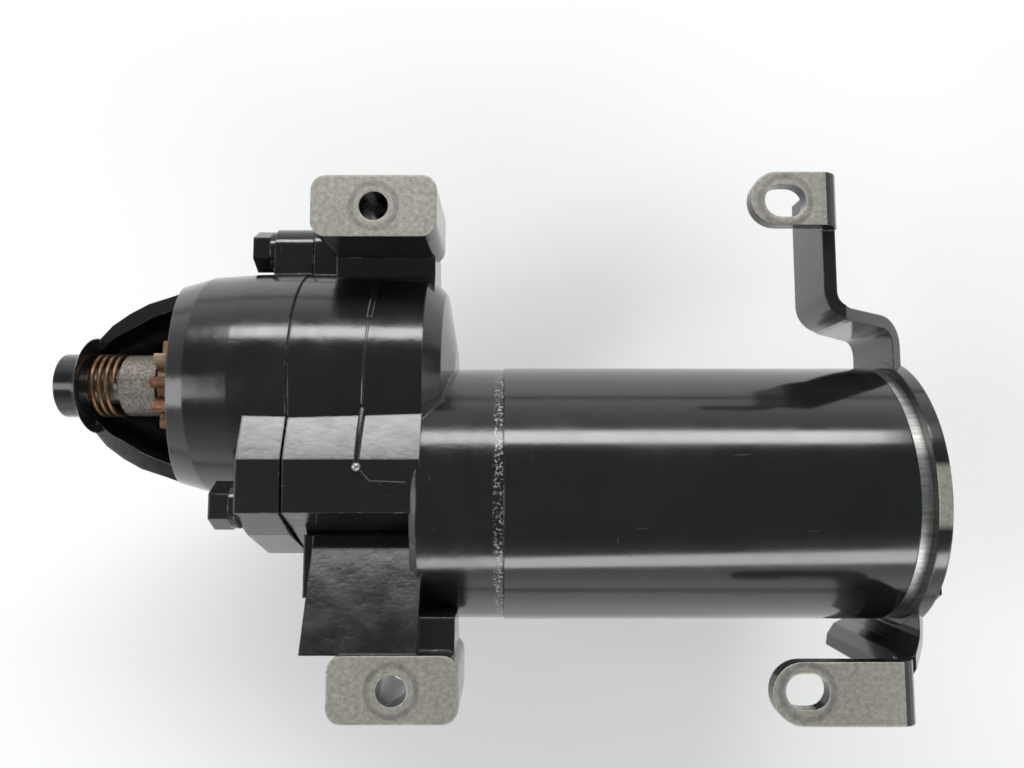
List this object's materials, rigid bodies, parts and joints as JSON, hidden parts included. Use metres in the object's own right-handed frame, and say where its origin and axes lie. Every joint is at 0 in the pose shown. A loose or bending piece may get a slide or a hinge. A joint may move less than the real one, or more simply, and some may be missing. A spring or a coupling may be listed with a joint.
{
  "type": "starter motor",
  "caption": "Offset-gear starter motor with painted housings, open nose window, two front mounting pads and a two-armed slotted rear bracket.",
  "frame": {"origin": "centre of the upper front mounting hole at the mounting face", "axes": "+Z out of the mounting face, +X along the motor axis towards the rear"},
  "size_m": [0.2716, 0.1533, 0.135],
  "materials": {
    "bare_end": "satin",
    "bronze": "satin",
    "copper": "satin",
    "ferrite": "matte",
    "paint": "gloss",
    "plastic": "matte",
    "rusty_steel": "matte",
    "sintered": "matte",
    "steel": "satin"
  },
  "bodies": {
    "base": {"motor_frame": "paint", "field_magnets": "ferrite", "armature_front_bearing": "bronze", "armature_rear_bush": "bronze", "armature_nose_bush": "bronze", "brush_plate": "plastic", "brushes": "ferrite", "brush_springs": "steel", "end_frame": "bare_end", "rear_bracket": "paint", "through_bolts": "paint", "gear_housing": "paint", "nose_housing": "paint", "housing_gasket": "plastic", "housing_bolts": "paint", "lock_washers": "paint", "output_rear_bush": "bronze", "nose_bush": "bronze", "gear_thrust_washer": "steel", "return_spring": "bronze", "solenoid_case": "paint", "solenoid_coil": "copper", "plunger_stop": "steel", "plunger_spring": "steel", "solenoid_cap": "plastic", "battery_stud": "copper", "motor_stud": "copper", "stud_nuts": "steel", "switch_terminal": "steel", "lever_pin": "steel", "motor_lead": "copper", "frame_seal": "plastic"},
    "rotor": {"armature_shaft": "steel", "armature_core": "steel", "armature_windings": "copper", "commutator": "copper"},
    "output": {"output_shaft": "steel", "reduction_gear": "steel"},
    "drive": {"clutch_shell": "steel", "clutch_rollers": "steel", "clutch_cover": "steel"},
    "pinion": {"pinion": "rusty_steel", "pinion_collar": "sintered"},
    "plunger": {"plunger": "steel"},
    "lever": {"shift_lever": "steel"},
    "contact": {"contact_disc": "copper", "contact_rod": "steel"}
  },
  "joints": [
    {"name": "armature_spin", "type": "hinge", "parent": "base", "child": "rotor", "pos_m": [0.0395, -0.082, -0.042], "axis": [1, 0, 0], "continuous": true},
    {"name": "output_spin", "type": "hinge", "parent": "base", "child": "output", "pos_m": [0.0395, -0.0475, -0.042], "axis": [1, 0, 0], "continuous": true},
    {"name": "drive_slide", "type": "slide", "parent": "output", "child": "drive", "axis": [-1, 0, 0], "range_m": [0, 0.006], "deforming": ["return_spring"]},
    {"name": "pinion_overrun", "type": "hinge", "parent": "drive", "child": "pinion", "pos_m": [0.0395, -0.0475, -0.042], "axis": [1, 0, 0], "continuous": true},
    {"name": "plunger_slide", "type": "slide", "parent": "base", "child": "plunger", "axis": [1, 0, 0], "range_m": [0, 0.006], "stiffness_N_per_m": 500, "springref_m": -0.004, "deforming": ["plunger_spring"]},
    {"name": "lever_swing", "type": "hinge", "parent": "base", "child": "lever", "pos_m": [-0.03755, -0.05884, -0.08244], "axis": [0, -0.9629, 0.2699], "range_deg": [0, 15.65]},
    {"name": "contact_slide", "type": "slide", "parent": "base", "child": "contact", "axis": [1, 0, 0], "range_m": [0, 0.003]}
  ],
  "couplings": [
    {"joint": "output_spin", "follows": "armature_spin", "ratio": -0.31429},
    {"joint": "drive_slide", "follows": "plunger_slide", "ratio": 1},
    {"joint": "lever_swing", "follows": "plunger_slide", "rad_per_m": 45.455},
    {"joint": "contact_slide", "follows": "plunger_slide", "ratio": 0.5}
  ]
}
